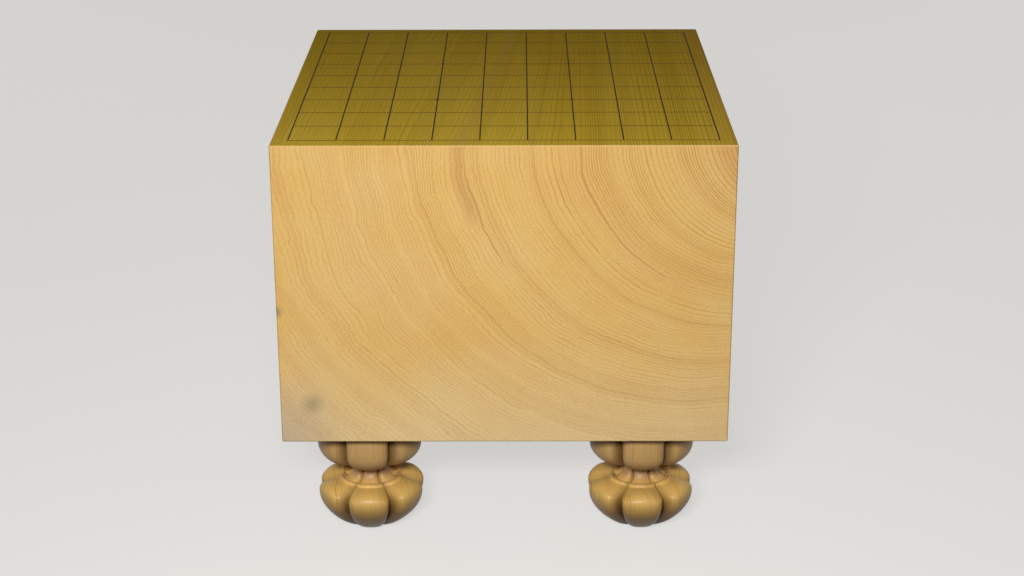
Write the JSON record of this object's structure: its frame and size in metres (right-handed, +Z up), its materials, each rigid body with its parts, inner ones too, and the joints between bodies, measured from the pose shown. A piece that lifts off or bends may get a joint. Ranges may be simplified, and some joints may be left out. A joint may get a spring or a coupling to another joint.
{
  "type": "legged shogi board",
  "caption": "Thick wooden shogi board with a lacquered playing grid on its top, standing on carved lobed legs whose round tenons push up into the block.",
  "frame": {"origin": "centre of the part's footprint, on the floor that the feet stand on", "axes": "+Z up, -Y towards the near player, whose end-grain face the picture shows, +X to that player's right"},
  "size_m": [0.333, 0.364, 0.3249],
  "materials": {
    "block_wood": "satin, waxed, end grain on the two players' ends",
    "leg_wood": "satin, waxed",
    "lacquer": "dark lacquer, slightly raised"
  },
  "bodies": {
    "board": {"board_block": "block_wood", "file_line_1": "lacquer", "file_line_2": "lacquer", "file_line_3": "lacquer", "file_line_4": "lacquer", "file_line_5": "lacquer", "file_line_6": "lacquer", "file_line_7": "lacquer", "file_line_8": "lacquer", "file_line_9": "lacquer", "file_line_10": "lacquer", "rank_line_1": "lacquer", "rank_line_2": "lacquer", "rank_line_3": "lacquer", "rank_line_4": "lacquer", "rank_line_5": "lacquer", "rank_line_6": "lacquer", "rank_line_7": "lacquer", "rank_line_8": "lacquer", "rank_line_9": "lacquer", "rank_line_10": "lacquer", "star_point_1": "lacquer", "star_point_2": "lacquer", "star_point_3": "lacquer", "star_point_4": "lacquer"},
    "leg_front_left": {"leg_front_left": "leg_wood"},
    "leg_front_right": {"leg_front_right": "leg_wood"},
    "leg_rear_left": {"leg_rear_left": "leg_wood"},
    "leg_rear_right": {"leg_rear_right": "leg_wood"}
  },
  "joints": [
    {"name": "pull_front_left", "type": "slide", "parent": "board", "child": "leg_front_left", "axis": [0, 0, -1], "range_m": [0, 0.045]},
    {"name": "pull_front_right", "type": "slide", "parent": "board", "child": "leg_front_right", "axis": [0, 0, -1], "range_m": [0, 0.045]},
    {"name": "pull_rear_left", "type": "slide", "parent": "board", "child": "leg_rear_left", "axis": [0, 0, -1], "range_m": [0, 0.045]},
    {"name": "pull_rear_right", "type": "slide", "parent": "board", "child": "leg_rear_right", "axis": [0, 0, -1], "range_m": [0, 0.045]}
  ]
}
